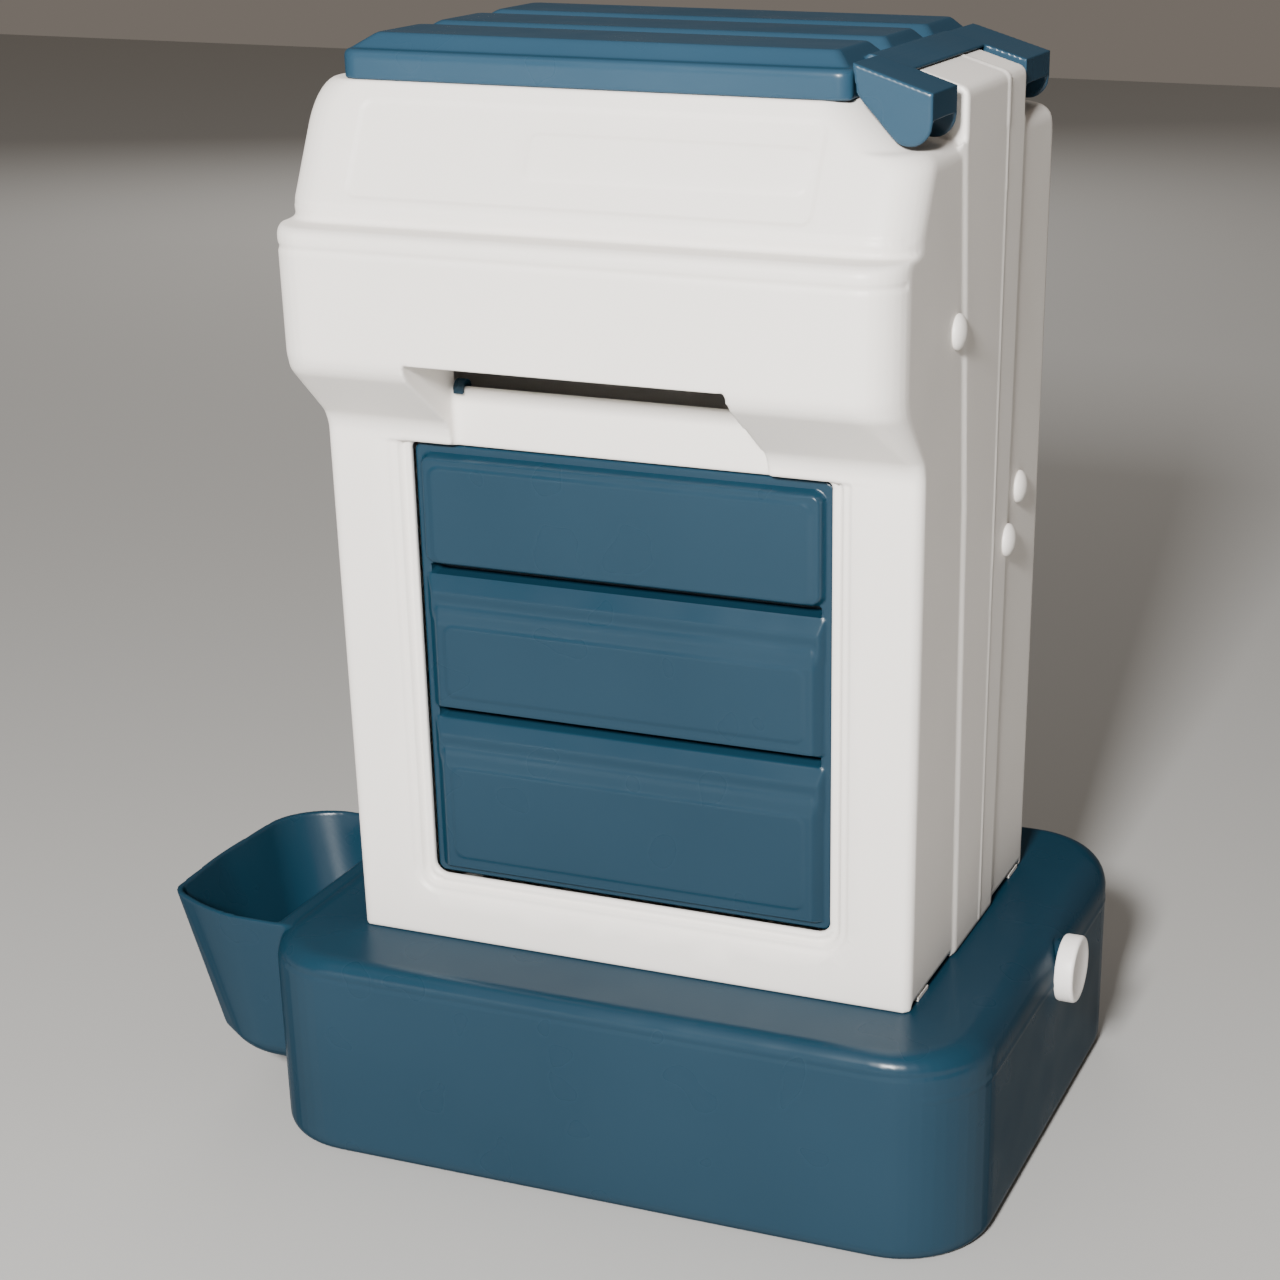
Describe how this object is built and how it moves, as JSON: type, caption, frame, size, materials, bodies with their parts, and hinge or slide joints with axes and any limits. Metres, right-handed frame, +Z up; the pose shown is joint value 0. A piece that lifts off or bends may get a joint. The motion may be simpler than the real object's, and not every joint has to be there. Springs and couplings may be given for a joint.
{
  "type": "rabbit hopper feeder",
  "caption": "Free-standing gravity hopper feeder on a hollow water base with a side drinking trough, a hanging flap door, a hinged ridged lid and a screw filler cap.",
  "frame": {"origin": "centre of the water tank's underside, on the surface the feeder stands on", "axes": "+Z up, the flap door faces -Y, the drinking trough is at -X and the filler cap at +X"},
  "size_m": [0.6077, 0.383, 0.7086],
  "materials": {
    "blue_plastic": "satin moulded plastic",
    "almond_plastic": "satin moulded plastic",
    "white_plastic": "satin moulded plastic",
    "black_rubber": "matte",
    "zinc_steel": "zinc plated"
  },
  "bodies": {
    "base": {"water_base": "blue_plastic", "hopper_body": "almond_plastic", "feed_baffle": "almond_plastic", "feed_tray": "almond_plastic", "baffle_plug_left_upper": "almond_plastic", "baffle_plug_left_rear": "almond_plastic", "baffle_plug_left_lower": "almond_plastic", "baffle_plug_right_upper": "almond_plastic", "baffle_plug_right_rear": "almond_plastic", "baffle_plug_right_lower": "almond_plastic", "base_screw_front_left": "zinc_steel", "base_screw_front_right": "zinc_steel", "base_screw_rear_left": "zinc_steel", "base_screw_rear_right": "zinc_steel", "lid_hinge_pin_front": "zinc_steel", "lid_hinge_pin_rear": "zinc_steel"},
    "lid": {"lid": "blue_plastic"},
    "door": {"flap_door": "blue_plastic"},
    "cap_carrier": {"cap_gasket": "black_rubber"},
    "cap": {"filler_cap": "white_plastic"}
  },
  "joints": [
    {"name": "lid_hinge", "type": "hinge", "parent": "base", "child": "lid", "pos_m": [0.1795, 0, 0.6743], "axis": [0, 1, 0], "range_deg": [0, 100]},
    {"name": "door_hinge", "type": "hinge", "parent": "base", "child": "door", "pos_m": [0, -0.12375, 0.5063], "axis": [1, 0, 0], "range_deg": [0, 40]},
    {"name": "cap_pull", "type": "slide", "parent": "base", "child": "cap_carrier", "axis": [1, 0, 0], "range_m": [0, 0.012]},
    {"name": "cap_turn", "type": "hinge", "parent": "cap_carrier", "child": "cap", "pos_m": [0.247, 0.0185, 0.117], "axis": [1, 0, 0], "range_deg": [0, 1080]}
  ],
  "couplings": [
    {"joint": "cap_turn", "follows": "cap_pull", "rad_per_m": 1570.7}
  ]
}
